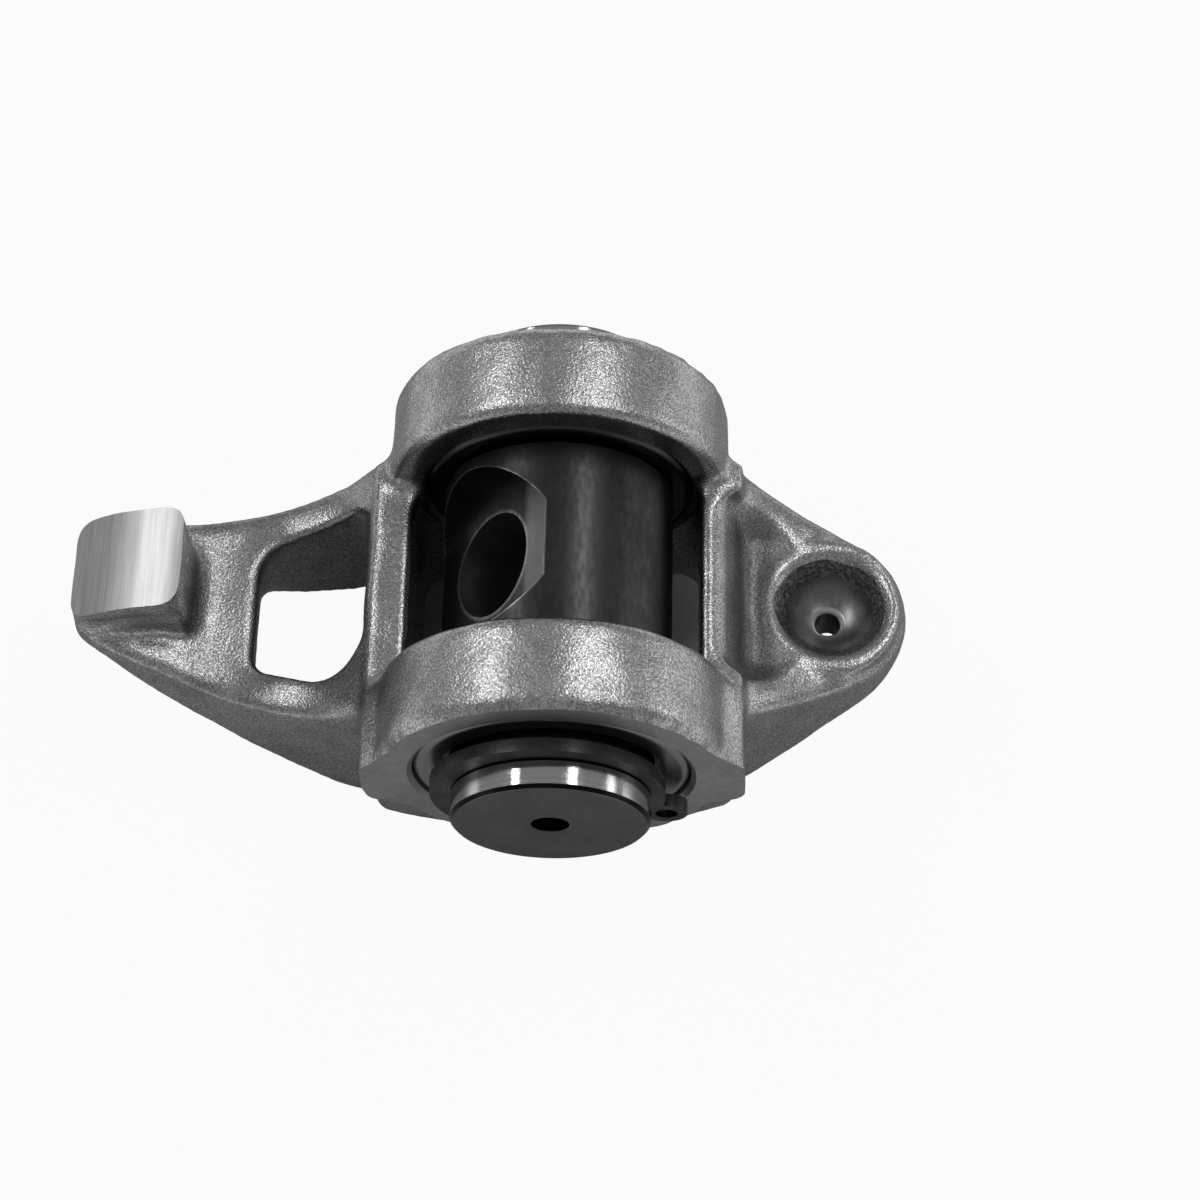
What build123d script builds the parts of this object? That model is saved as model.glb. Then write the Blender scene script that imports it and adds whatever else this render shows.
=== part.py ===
from build123d import *
import math
import os

# Rocker arm of a pushrod engine, lying on its back: the valve pad and the pushrod cup face up.
# The origin is the middle of the trunnion's axis. +X points to the pushrod cup, +Y along the
# trunnion, +Z up. All sizes are in millimetres and all angles in degrees.

# ---- Bearings and trunnion ----
JOURNAL_DIAMETER = 15.0
NEEDLE_DIAMETER = 2.0
NEEDLE_LENGTH = 4.4
NEEDLE_BEVEL = 0.2
NEEDLES_PER_CAGE = 18
CUP_DIAMETER = 21.0
CUP_WIDTH = 7.0
CUP_LIP_THICKNESS = 0.8
CUP_CORNER = 0.75
CUP_RECESS = 0.35            # how far the cup is pressed in below the boss face
LIP_CLEARANCE = 1.0          # radial room between journal and cup lip
RUNNING_CLEARANCE = 0.015    # radial room of a needle against journal and race
CAGE_CLEARANCE = 0.25        # radial room of the cage against journal and race
POCKET_CLEARANCE = 0.05      # room of a needle in its pocket, on every side
CAGE_END_PLAY = 0.1
BARREL_UNDER_RACE = 0.58     # how far the barrel's surface lies inside the needles' race
BARREL_END_PLAY = 0.3        # room between barrel shoulder and boss, each side
END_STICK_OUT = 2.1          # polished journal showing beyond the circlip
END_CHAMFER = 0.3
CENTRE_HOLE_DIAMETER = 2.9
CENTRE_HOLE_DEPTH = 3.2
CENTRE_CONE_ANGLE = 59

# ---- Mounting hole through the trunnion, for an M8 cap screw ----
SCREW_HOLE_DIAMETER = 8.4
SCREW_HOLE_CHAMFER = 0.25
SEAT_DIAMETER = 14.2
SEAT_HEIGHT = 6.25           # from the trunnion axis to the face under the screw head
SCREW_TURN = 51              # how far the free trunnion is turned from +Z towards -X

# ---- Circlips ----
CLIP_THICKNESS = 1.0
CLIP_GROOVE_DIAMETER = 14.3
CLIP_GROOVE_CLEARANCE = 0.1
CLIP_RADIAL_ROOM = 0.03
CLIP_WIDTH_BACK = 2.0        # radial width opposite the gap
CLIP_WIDTH_EARS = 1.3        # radial width beside the ears
CLIP_EAR_RADIUS = 1.6
CLIP_EAR_REACH = 9.2         # from the trunnion axis to the middle of an ear's hole
CLIP_EAR_ANGLE = 20          # from the middle of the gap to an ear's hole
CLIP_HOLE_DIAMETER = 1.7
CLIP_GAP_TURN = 39           # where the gap points, from +X downwards
CLIP_SIDE_PLAY = 0.6         # room between boss face and circlip

# ---- Cast arm: bosses and frame round the trunnion ----
BOSS_FACE = 15.7             # from the middle to the machined face of each boss
BOSS_DIAMETER = 26.6
BOSS_EDGE = 0.9              # rounding of the bosses' cast rims
WINDOW_WIDTH = 16.6          # between the bosses, along the trunnion
WINDOW_LENGTH = 22.9         # along the arm
WINDOW_SHIFT = 0.15          # middle of the window from the trunnion axis
WINDOW_CORNER = 2.2
FRAME_LENGTH = 29.0
FRAME_TOP = 1.8
FRAME_BOTTOM = -4.9
FRAME_TILT = 3.2             # the frame rises towards the pushrod end
FRAME_HALF_WIDTH = 10.2
EAR_TOP = 1.6                # height of the ears' upper corners
EAR_SLOPE_RUN = 3.9          # the slope from an ear up to its boss
EAR_SLOPE_RISE = 4.2
EAR_TOP_CORNER = 0.6
EAR_LOW_CORNER = 1.6
OPENING_EDGE = 0.6           # rounding of the cast edges round both openings
BORE_CHAMFER = 0.35
BACK = -15.5                 # height of the flat back that the arm lies on
BACK_HALF_WIDTH = 14.0       # half width of the back under the bosses
BACK_SHOULDER = -5.0         # where the back widens below the frame
SWELL_END_HALF_WIDTH = 12.3  # half width of the back under the ends of the frame
SWELL_CORNER = 1.2
DRAFT = 3.0                  # cast side walls lean out towards the back
ROOT_X = 13.2                # where the side walls of both beams meet the bosses
ROOT_HALF_WIDTH = 10.55
ROOT_CORNER = 3.0            # rounding of the inner corners where beams and frame meet
TOP_EDGE = 0.8               # rounding of the cast edges above
LOW_EDGE = 1.2               # rounding of the cast edges below

# ---- Cast arm: valve end ----
TIP = -37.2                  # end of the arm
TIP_HALF_WIDTH = 3.95
TIP_TOP = 0.6
TIP_BOTTOM = -1.3
TIP_CORNER = 1.6
BEAM_ROOT_HEIGHT = 0.4
VALLEY_START = -27.6
VALLEY_START_HEIGHT = -3.5
VALLEY_X = -23.4
VALLEY_HEIGHT = -4.2
BELLY_X = -27.5              # a point of the rounded belly under the valve end
BELLY_HEIGHT = -10.5
BACK_START = -17.5
PAD_INNER_EDGE = -28.4
PAD_HALF_WIDTH = 4.2
PAD_CORNER = 1.5
PAD_CROWN_RADIUS = 20.0
PAD_CROWN_X = -25.9          # middle of the crown's circle
PAD_CROWN_HEIGHT = -15.1
PAD_SINK = 1.2               # how far the pad's foot goes into the beam
LIGHTENING_LEFT = -23.7
LIGHTENING_RIGHT = -14.9
LIGHTENING_WALL = 2.5        # thickness of the side walls beside the opening
LIGHTENING_TIGHT_CORNER = 1.2
LIGHTENING_WIDE_CORNER = 3.2

# ---- Cast arm: pushrod end ----
CUP_X = 21.4
NOSE_RADIUS = 5.75
NOSE_BOTTOM = -5.0
NOSE_BACK_X = 20.5           # a point of the rounded back under the pushrod cup
NOSE_BACK_HEIGHT = -10.0
BACK_END = 4.0
FLANK_SLOPE_X = 18.5         # a point of the sloping top beside the cup
FLANK_SLOPE_HEIGHT = -1.6
FLANK_END_HEIGHT = -3.0
CUP_RIM = -1.8
CUP_RIM_OUTER_RADIUS = 5.4
CUP_RIM_RISE = 1.6           # height of the raised rim round the cup
CUP_RIM_RADIUS = 4.8
CUP_MOUTH_RADIUS = 3.75
CUP_MOUTH_DEPTH = 1.0
CUP_BALL_RADIUS = 3.97
OIL_HOLE_DIAMETER = 1.9
OIL_HOLE_CHAMFER = 0.25
SCOOP_RADIUS = 5.0
SCOOP_X = 16.2
SCOOP_HEIGHT = 2.4
SCOOP_HALF_LENGTH = 3.2

# ---- Worked-out sizes ----
journal_radius = JOURNAL_DIAMETER / 2
needle_radius = NEEDLE_DIAMETER / 2
race_radius = journal_radius + NEEDLE_DIAMETER + 2 * RUNNING_CLEARANCE
pitch_radius = (journal_radius + race_radius) / 2
bore_radius = CUP_DIAMETER / 2
boss_radius = BOSS_DIAMETER / 2
barrel_radius = race_radius - BARREL_UNDER_RACE
boss_inner_face = WINDOW_WIDTH / 2
cup_middle = BOSS_FACE - CUP_RECESS - CUP_WIDTH / 2
barrel_half_length = boss_inner_face - BARREL_END_PLAY
clip_inner_face = BOSS_FACE + CLIP_SIDE_PLAY
groove_radius = CLIP_GROOVE_DIAMETER / 2
groove_start = clip_inner_face - CLIP_GROOVE_CLEARANCE
groove_end = clip_inner_face + CLIP_THICKNESS + CLIP_GROOVE_CLEARANCE
cage_width = CUP_WIDTH - 2 * CUP_LIP_THICKNESS - 2 * CAGE_END_PLAY
trunnion_half_length = groove_end + END_STICK_OUT
frame_end = FRAME_LENGTH / 2
nose_end = CUP_X + NOSE_RADIUS + 1.0
blank_height = FRAME_TOP - BACK
SIDES = {"near": -1, "far": 1}
LINE_ROOM = 0.01             # how exactly an edge must lie on an opening's outline


def along_y(radius, length, middle=0.0):
    """A round bar along the trunnion axis."""
    return Pos(0, middle, 0) * Rot(90, 0, 0) * Cylinder(radius, length)


def upright(radius, bottom, top, x=0.0, y=0.0):
    """A round bar that stands up from one height to another."""
    return Pos(x, y, (bottom + top) / 2) * Cylinder(radius, top - bottom)


def side_blank():
    """The side view of both beams and the back, as wide as the machined faces are apart."""
    with BuildPart() as blank:
        with BuildSketch(Plane.XZ):
            with BuildLine():
                Line((TIP, TIP_TOP), (VALLEY_START, VALLEY_START_HEIGHT))
                ThreePointArc((VALLEY_START, VALLEY_START_HEIGHT), (VALLEY_X, VALLEY_HEIGHT),
                              (-frame_end, BEAM_ROOT_HEIGHT))
                Line((-frame_end, BEAM_ROOT_HEIGHT), (frame_end, BEAM_ROOT_HEIGHT))
                ThreePointArc((frame_end, BEAM_ROOT_HEIGHT), (FLANK_SLOPE_X, FLANK_SLOPE_HEIGHT),
                              (nose_end, FLANK_END_HEIGHT))
                Line((nose_end, FLANK_END_HEIGHT), (nose_end, NOSE_BOTTOM))
                ThreePointArc((nose_end, NOSE_BOTTOM), (NOSE_BACK_X, NOSE_BACK_HEIGHT), (BACK_END, BACK))
                Line((BACK_END, BACK), (BACK_START, BACK))
                ThreePointArc((BACK_START, BACK), (BELLY_X, BELLY_HEIGHT), (TIP, TIP_BOTTOM))
                Line((TIP, TIP_BOTTOM), (TIP, TIP_TOP))
            make_face()
        extrude(amount=BOSS_FACE, both=True)
    return blank.part


def plan_outline():
    """Both beams in plan: a straight taper to the valve, and flanks that run onto the nose."""
    run = CUP_X - ROOT_X
    turn = math.atan2(ROOT_HALF_WIDTH, -run) - math.acos(NOSE_RADIUS / math.hypot(run, ROOT_HALF_WIDTH))
    touch = CUP_X + NOSE_RADIUS * math.cos(turn), NOSE_RADIUS * math.sin(turn)
    with BuildSketch() as plan:
        with BuildLine():
            Polyline((touch[0], -touch[1]), (ROOT_X, -ROOT_HALF_WIDTH), (-ROOT_X, -ROOT_HALF_WIDTH),
                     (TIP, -TIP_HALF_WIDTH), (TIP, TIP_HALF_WIDTH), (-ROOT_X, ROOT_HALF_WIDTH),
                     (ROOT_X, ROOT_HALF_WIDTH), touch)
            ThreePointArc(touch, (CUP_X + NOSE_RADIUS, 0), (touch[0], -touch[1]))
        outline = make_face()
        fillet(outline.vertices().group_by(Axis.X)[0], TIP_CORNER)
    return plan.sketch


def is_wall(face):
    """Whether a face stands upright, give or take the draft."""
    return abs(face.normal_at().Z) < 0.1


def rims(body, top):
    """The edges between a body's walls and its top, or between its walls and its underside."""
    covers = ShapeList(face for face in body.faces()
                       if not is_wall(face) and (face.normal_at().Z > 0) == top)
    return body.faces().filter_by(is_wall).edges() & covers.edges()


def opening_rim(body, opening, top):
    """The edges of a body round an opening that was cut through it, above or below."""
    box = opening.bounding_box()
    low, high, side = box.min.X - LINE_ROOM, box.max.X + LINE_ROOM, box.max.Y + LINE_ROOM
    return [edge for edge in rims(body, top)
            if low < edge.center().X < high and abs(edge.center().Y) < side]


def beam_half_width(x):
    """Half width of the valve beam's top at a place along the arm."""
    share = (x - TIP) / (-ROOT_X - TIP)
    return TIP_HALF_WIDTH + share * (ROOT_HALF_WIDTH - TIP_HALF_WIDTH)


def lightening_cut():
    """The opening through the valve beam. Its sides follow the beam's taper, and two opposite
    corners are tight where the other two are wide."""
    left = beam_half_width(LIGHTENING_LEFT) - LIGHTENING_WALL
    right = beam_half_width(LIGHTENING_RIGHT) - LIGHTENING_WALL
    middle = (LIGHTENING_LEFT + LIGHTENING_RIGHT) / 2
    plan = make_face(Polyline((LIGHTENING_LEFT, left), (LIGHTENING_LEFT, -left),
                              (LIGHTENING_RIGHT, -right), (LIGHTENING_RIGHT, right), close=True))
    for radius, diagonal in ((LIGHTENING_TIGHT_CORNER, 1), (LIGHTENING_WIDE_CORNER, -1)):
        plan = fillet([corner for corner in plan.vertices()
                       if diagonal * (corner.X - middle) * corner.Y > 0], radius)
    return extrude(plan, amount=2 * blank_height, both=True)


def beams():
    """Both beams: drafted side walls cut to the side view, with the lightening window, and
    rounded along their rims."""
    blank = extrude(Plane.XY.offset(FRAME_TOP) * plan_outline(), amount=-blank_height)
    body = draft(blank.faces().filter_by(is_wall), Plane.XY.offset(FRAME_TOP), DRAFT) & side_blank()
    body = fillet([edge for edge in rims(body, True) if abs(edge.center().X) > ROOT_X], TOP_EDGE)
    for end in SIDES.values():
        low = [edge for edge in rims(body, False) if end * edge.center().X > ROOT_X]
        body = fillet(low, LOW_EDGE)
    opening = lightening_cut()
    body -= opening
    return fillet(opening_rim(body, opening, True), OPENING_EDGE)


def back_swell():
    """The back widens under the bosses, so that it closes the frame from below."""
    ends = [(x, y) for x in (-frame_end, frame_end) for y in (-SWELL_END_HALF_WIDTH, SWELL_END_HALF_WIDTH)]
    plan = make_face(ThreePointArc(ends[0], (0, -BACK_HALF_WIDTH), ends[2]) + Line(ends[2], ends[3])
                     + ThreePointArc(ends[3], (0, BACK_HALF_WIDTH), ends[1]) + Line(ends[1], ends[0]))
    plan = fillet(plan.vertices(), SWELL_CORNER)
    swell = extrude(Plane.XY.offset(BACK) * plan, amount=BACK_SHOULDER - BACK) & side_blank()
    opening = window_cut()
    swell = fillet(rims(swell, False), LOW_EDGE) - opening
    return fillet(opening_rim(swell, opening, False), OPENING_EDGE)


def tilted(shape):
    """A shape turned with the frame, which rises towards the pushrod end."""
    return Rot(0, -FRAME_TILT, 0) * shape


def frame():
    """The block round the trunnion window."""
    block = Box(FRAME_LENGTH, 2 * FRAME_HALF_WIDTH, FRAME_TOP - FRAME_BOTTOM)
    block = fillet(block.edges().filter_by(Axis.Y).group_by(Axis.Z)[-1], EAR_TOP_CORNER)
    block = tilted(Pos(0, 0, (FRAME_TOP + FRAME_BOTTOM) / 2) * block)
    opening = window_cut()
    block -= opening
    return fillet(opening_rim(block, opening, True), OPENING_EDGE)


def ears():
    """The frame runs on to the near machined face; its ends show there as ears that slope up to
    the boss."""
    slope_end = frame_end - EAR_SLOPE_RUN
    side_view = make_face(Polyline(
        (-frame_end, FRAME_BOTTOM), (-frame_end, EAR_TOP), (-slope_end, EAR_TOP + EAR_SLOPE_RISE),
        (slope_end, EAR_TOP + EAR_SLOPE_RISE), (frame_end, EAR_TOP), (frame_end, FRAME_BOTTOM), close=True))
    ends = side_view.vertices().filter_by(lambda corner: abs(corner.X) > slope_end + EAR_TOP_CORNER)
    side_view = fillet(ends.filter_by(lambda corner: corner.Y > 0), EAR_TOP_CORNER)
    low = side_view.vertices().filter_by(lambda corner: corner.Y < FRAME_BOTTOM + EAR_TOP_CORNER)
    side_view = fillet(low, EAR_LOW_CORNER)
    start = boss_inner_face + BOSS_EDGE
    return tilted(extrude(Plane.XZ.offset(start) * side_view, amount=BOSS_FACE - start))


def beam_roots():
    """The cast inner corners where the beams run into the ears and into the far boss."""
    side = ROOT_HALF_WIDTH + 2 * ROOT_CORNER
    plan = (plan_outline() + Pos(0, side / 2) * Rectangle(2 * ROOT_X, side)
            + Pos(0, -side / 2) * Rectangle(FRAME_LENGTH, side))
    inner = [corner for corner in plan.vertices()
             if abs(corner.X) < frame_end + LINE_ROOM
             and ROOT_HALF_WIDTH / 2 < abs(corner.Y) < side - LINE_ROOM]
    plan = fillet(inner, ROOT_CORNER) & Rectangle(FRAME_LENGTH + 1.5 * ROOT_CORNER, 2 * BOSS_FACE)
    plan -= Rectangle(2 * FRAME_LENGTH, 2 * (ROOT_HALF_WIDTH - LIGHTENING_WALL))
    roots = extrude(Plane.XY.offset(FRAME_BOTTOM + EAR_LOW_CORNER) * plan, amount=blank_height)
    return roots & side_blank()


def bosses():
    """The two round bosses that hold the bearings, with rounded rims."""
    pair = []
    for side in SIDES.values():
        boss = along_y(boss_radius, BOSS_FACE - boss_inner_face, side * (BOSS_FACE + boss_inner_face) / 2)
        pair.append(fillet(boss.edges().filter_by(GeomType.CIRCLE), BOSS_EDGE))
    return pair


def valve_pad():
    """The ground pad: a crown that runs along the arm, over a rounded rectangle in plan."""
    length = PAD_INNER_EDGE - TIP
    block = Pos((PAD_INNER_EDGE + TIP) / 2, 0, 0) * Box(length, 2 * PAD_HALF_WIDTH, 2 * PAD_CROWN_RADIUS)
    block = fillet(block.edges().filter_by(Axis.Z), PAD_CORNER)
    crown = Pos(PAD_CROWN_X, 0, PAD_CROWN_HEIGHT) * Rot(90, 0, 0) * Cylinder(PAD_CROWN_RADIUS, 2 * BOSS_FACE)
    with BuildPart() as below:
        with BuildSketch(Plane.XZ):
            with BuildLine():
                Polyline((2 * TIP, TIP_TOP - PAD_SINK), (TIP, TIP_TOP - PAD_SINK),
                         (VALLEY_START, VALLEY_START_HEIGHT - PAD_SINK), (0, VALLEY_START_HEIGHT - PAD_SINK),
                         (0, -2 * PAD_CROWN_RADIUS), (2 * TIP, -2 * PAD_CROWN_RADIUS), close=True)
            make_face()
        extrude(amount=BOSS_FACE, both=True)
    return (block & crown) - below.part


def window_cut():
    """The opening between the bosses, for the trunnion's barrel and the mounting screw."""
    block = Pos(WINDOW_SHIFT, 0, 0) * Box(WINDOW_LENGTH, WINDOW_WIDTH, 4 * boss_radius)
    return fillet(block.edges().filter_by(Axis.Z), WINDOW_CORNER)


def bore_cut():
    """Both bearing bores, bevelled at the machined faces and towards the window."""
    wide = bore_radius + BORE_CHAMFER
    profile = make_face(Polyline(
        (0, boss_inner_face), (wide, boss_inner_face), (bore_radius, boss_inner_face + BORE_CHAMFER),
        (bore_radius, BOSS_FACE - BORE_CHAMFER), (wide, BOSS_FACE), (wide, 2 * BOSS_FACE),
        (0, 2 * BOSS_FACE), close=True))
    bore = revolve(profile, Axis.Y)
    return bore + mirror(bore, Plane.XZ)


def cup_cut():
    """The pushrod cup: a rough cast mouth, the ground ball seat and its oil hole."""
    mouth = CUP_RIM - CUP_MOUTH_DEPTH
    ball_middle = mouth + math.sqrt(CUP_BALL_RADIUS**2 - CUP_MOUTH_RADIUS**2)
    bottom = ball_middle - CUP_BALL_RADIUS
    entry = Pos(CUP_X, 0, mouth + CUP_MOUTH_DEPTH) * Cone(
        CUP_MOUTH_RADIUS, 2 * CUP_RIM_RADIUS - CUP_MOUTH_RADIUS, 2 * CUP_MOUTH_DEPTH)
    ball = Pos(CUP_X, 0, ball_middle) * Sphere(CUP_BALL_RADIUS)
    ball = ball & upright(CUP_MOUTH_RADIUS + 1, bottom - 1, mouth + 0.01, CUP_X)
    oil_hole = upright(OIL_HOLE_DIAMETER / 2, BACK - 1, mouth, CUP_X)
    hole_edge = ball_middle - math.sqrt(CUP_BALL_RADIUS**2 - (OIL_HOLE_DIAMETER / 2)**2)
    bevel = Pos(CUP_X, 0, hole_edge) * Cone(OIL_HOLE_DIAMETER / 2 - OIL_HOLE_CHAMFER,
                                            OIL_HOLE_DIAMETER / 2 + OIL_HOLE_CHAMFER, 2 * OIL_HOLE_CHAMFER)
    return entry + ball + oil_hole + bevel


def scoop_cut():
    """The hollow between the window frame and the pushrod cup."""
    bar = Pos(SCOOP_X, 0, SCOOP_HEIGHT) * Rot(90, 0, 0) * Cylinder(SCOOP_RADIUS, 2 * SCOOP_HALF_LENGTH)
    ends = [Pos(SCOOP_X, side * SCOOP_HALF_LENGTH, SCOOP_HEIGHT) * Sphere(SCOOP_RADIUS)
            for side in SIDES.values()]
    return bar + ends[0] + ends[1]


def rocker_arm():
    """The investment-cast arm with its machined bores, faces, pad and ball seat."""
    arm = beams() + back_swell() + frame() + ears() + beam_roots()
    for boss in bosses():
        arm += boss
    arm += valve_pad()
    arm -= scoop_cut()
    arm += upright(CUP_RIM_OUTER_RADIUS, CUP_RIM - CUP_RIM_RISE, CUP_RIM, CUP_X)
    return arm - bore_cut() - window_cut() - lightening_cut() - cup_cut()


def trunnion():
    """The turned pivot shaft with its cross hole and the flat seat for the screw head."""
    with BuildPart() as shaft:
        with BuildSketch(Plane.XY):
            with BuildLine():
                Polyline((0, 0), (barrel_radius, 0), (barrel_radius, barrel_half_length),
                         (journal_radius, barrel_half_length), (journal_radius, groove_start),
                         (groove_radius, groove_start), (groove_radius, groove_end),
                         (journal_radius, groove_end), (journal_radius, trunnion_half_length),
                         (0, trunnion_half_length), close=True)
            make_face()
        revolve(axis=Axis.Y)
        mirror(about=Plane.XZ)
        rims = shaft.edges().filter_by(GeomType.CIRCLE).sort_by(Axis.Y)
        chamfer([rims[0], rims[-1]], END_CHAMFER)
    body = shaft.part
    for side in SIDES.values():
        depth = CENTRE_HOLE_DIAMETER / 2 / math.tan(math.radians(CENTRE_CONE_ANGLE))
        hole = along_y(CENTRE_HOLE_DIAMETER / 2, 2 * CENTRE_HOLE_DEPTH, side * trunnion_half_length)
        cone_middle = side * (trunnion_half_length - CENTRE_HOLE_DEPTH - depth / 2)
        cone = Pos(0, cone_middle, 0) * Rot(-90 * side, 0, 0) * Cone(0.0, CENTRE_HOLE_DIAMETER / 2, depth)
        body = body - hole - cone
    turn = Rot(0, -SCREW_TURN, 0)
    hole = Cylinder(SCREW_HOLE_DIAMETER / 2, 4 * barrel_radius)
    seat = upright(SEAT_DIAMETER / 2, SEAT_HEIGHT, 2 * barrel_radius)
    bevel = Pos(0, 0, SEAT_HEIGHT) * Cone(SCREW_HOLE_DIAMETER / 2 - SCREW_HOLE_CHAMFER,
                                          SCREW_HOLE_DIAMETER / 2 + SCREW_HOLE_CHAMFER, 2 * SCREW_HOLE_CHAMFER)
    return body - turn * (hole + seat + bevel)


def bearing_cup(middle):
    """A drawn cup: the needles run on its inside, and a lip at each end keeps the cage in."""
    half = CUP_WIDTH / 2
    lip_radius = journal_radius + LIP_CLEARANCE
    with BuildPart() as cup:
        with BuildSketch(Plane.XY):
            with Locations(((bore_radius + lip_radius) / 2, middle)):
                shell = Rectangle(bore_radius - lip_radius, CUP_WIDTH)
            fillet(shell.vertices().group_by(Axis.X)[-1], CUP_CORNER)
            with Locations(((race_radius + lip_radius) / 2, middle)):
                Rectangle(race_radius - lip_radius, 2 * (half - CUP_LIP_THICKNESS), mode=Mode.SUBTRACT)
        revolve(axis=Axis.Y)
    return cup.part


def needle_places():
    """Angles of the needles round the trunnion, evenly spaced."""
    return [360 * number / NEEDLES_PER_CAGE for number in range(NEEDLES_PER_CAGE)]


def needle(middle, angle):
    """One needle roller with bevelled ends."""
    roller = along_y(needle_radius, NEEDLE_LENGTH)
    roller = chamfer(roller.edges().filter_by(GeomType.CIRCLE), NEEDLE_BEVEL)
    return Rot(0, -angle, 0) * Pos(pitch_radius, middle, 0) * roller


def needle_cage(middle):
    """The ring that keeps the needles apart, with one pocket for each."""
    ring = along_y(race_radius - CAGE_CLEARANCE, cage_width, middle)
    ring = ring - along_y(journal_radius + CAGE_CLEARANCE, 2 * cage_width, middle)
    pocket = along_y(needle_radius + POCKET_CLEARANCE, NEEDLE_LENGTH + 2 * POCKET_CLEARANCE)
    for angle in needle_places():
        ring = ring - Rot(0, -angle, 0) * Pos(pitch_radius, middle, 0) * pocket
    return ring


def circlip(side):
    """An external circlip, widest opposite its gap, with an ear at each side of the gap."""
    inner = groove_radius + CLIP_RADIAL_ROOM
    outer = inner + (CLIP_WIDTH_BACK + CLIP_WIDTH_EARS) / 2
    shift = (CLIP_WIDTH_BACK - CLIP_WIDTH_EARS) / 2
    ear = CLIP_EAR_REACH * math.cos(math.radians(CLIP_EAR_ANGLE)), CLIP_EAR_REACH * math.sin(
        math.radians(CLIP_EAR_ANGLE))
    gap = 2 * (ear[1] - CLIP_EAR_RADIUS)
    ears = [(ear[0], -ear[1]), (ear[0], ear[1])]
    with BuildPart() as clip:
        with BuildSketch(Plane.XY):
            with Locations((-shift, 0)):
                Circle(outer)
            with Locations(*ears):
                Circle(CLIP_EAR_RADIUS)
            Circle(inner, mode=Mode.SUBTRACT)
            with Locations((ear[0], 0)):
                Rectangle(outer, gap, mode=Mode.SUBTRACT)
            with Locations(*ears):
                Circle(CLIP_HOLE_DIAMETER / 2, mode=Mode.SUBTRACT)
        extrude(amount=CLIP_THICKNESS / 2, both=True)
    middle = side * (clip_inner_face + CLIP_THICKNESS / 2)
    return Pos(0, middle, 0) * Rot(0, CLIP_GAP_TURN, 0) * Rot(90, 0, 0) * clip.part


os.makedirs("parts", exist_ok=True)
nodes = {"rocker_arm": rocker_arm(), "trunnion": trunnion()}
for name, side in SIDES.items():
    middle = side * cup_middle
    nodes[f"bearing_cup_{name}"] = bearing_cup(middle)
    nodes[f"needle_cage_{name}"] = needle_cage(middle)
    nodes[f"circlip_{name}"] = circlip(side)
    for number, angle in enumerate(needle_places(), start=1):
        nodes[f"needle_{name}_{number:02d}"] = needle(middle, angle)
for name, solid in nodes.items():
    solid.label = name
    export_step(solid, f"parts/{name}.step")
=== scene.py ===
import math
import bmesh
import bpy
import numpy as np
from mathutils import Matrix, Vector


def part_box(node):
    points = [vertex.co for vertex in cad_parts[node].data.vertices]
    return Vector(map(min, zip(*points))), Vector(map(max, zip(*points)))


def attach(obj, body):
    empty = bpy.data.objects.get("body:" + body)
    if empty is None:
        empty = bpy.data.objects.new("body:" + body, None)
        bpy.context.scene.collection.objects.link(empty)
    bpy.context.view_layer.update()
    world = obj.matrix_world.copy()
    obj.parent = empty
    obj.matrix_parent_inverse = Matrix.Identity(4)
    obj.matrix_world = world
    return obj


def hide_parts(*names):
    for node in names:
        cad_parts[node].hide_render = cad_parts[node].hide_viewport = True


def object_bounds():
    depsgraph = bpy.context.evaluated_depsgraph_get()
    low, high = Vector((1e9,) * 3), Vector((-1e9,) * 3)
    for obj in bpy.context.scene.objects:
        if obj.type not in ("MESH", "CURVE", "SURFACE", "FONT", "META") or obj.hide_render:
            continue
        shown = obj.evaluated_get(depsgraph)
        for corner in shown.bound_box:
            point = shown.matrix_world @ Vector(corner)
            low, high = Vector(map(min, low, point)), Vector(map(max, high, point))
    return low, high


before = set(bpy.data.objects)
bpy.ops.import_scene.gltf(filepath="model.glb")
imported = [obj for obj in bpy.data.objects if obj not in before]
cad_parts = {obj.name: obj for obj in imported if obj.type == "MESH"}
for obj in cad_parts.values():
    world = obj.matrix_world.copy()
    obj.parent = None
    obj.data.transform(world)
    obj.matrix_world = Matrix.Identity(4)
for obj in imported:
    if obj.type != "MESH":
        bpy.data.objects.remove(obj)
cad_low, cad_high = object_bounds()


# ---- Cast arm ----
# The arm is one investment casting in alloy steel, with rounded edges and an orange-peel skin.
# The two side faces, the bearing bores, the valve pad and the ball seat are cut after casting.
MM = 0.001
FACE_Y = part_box("rocker_arm")[1].y
MACHINING_ALLOWANCE = 0.9 * MM   # metal cast on where a cut follows
MERGE_DISTANCE = 0.5e-6          # loose triangles are joined where their corners are this close
FACE_ROOM = 1e-6                 # how close a point is to a machined face, the pad or its crown to be on it
PAD_ROOM = 1e-5
CROWN_ROOM = 2e-5
ARM_TIP = -37.2 * MM
TIP_HALF_WIDTH = 3.95 * MM
TIP_TOP_Z = 0.6 * MM
BEAM_ROOT_X = 13.2 * MM
BEAM_ROOT_HALF_WIDTH = 10.55 * MM
VALLEY_START_X = -27.6 * MM
VALLEY_START_Z = -3.5 * MM
PAD_INNER_X = -28.4 * MM
PAD_HALF_WIDTH = 4.2 * MM
PAD_CROWN_RADIUS = 20.0 * MM
PAD_CROWN_X = -25.9 * MM
PAD_CROWN_Z = -15.1 * MM
PAD_LIP = 0.8 * MM               # the pad overhangs its neck below this lip
NECK_HALF_WIDTH = 2.2 * MM
NECK_HEIGHT = 7.0 * MM           # the pad's height above the beam where its neck is that thin
NECK_END_X = -27.9 * MM
NECK_LEAST_ROOM = 0.05 * MM
NECK_CUT_PAST_TIP = 1.0 * MM
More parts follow.
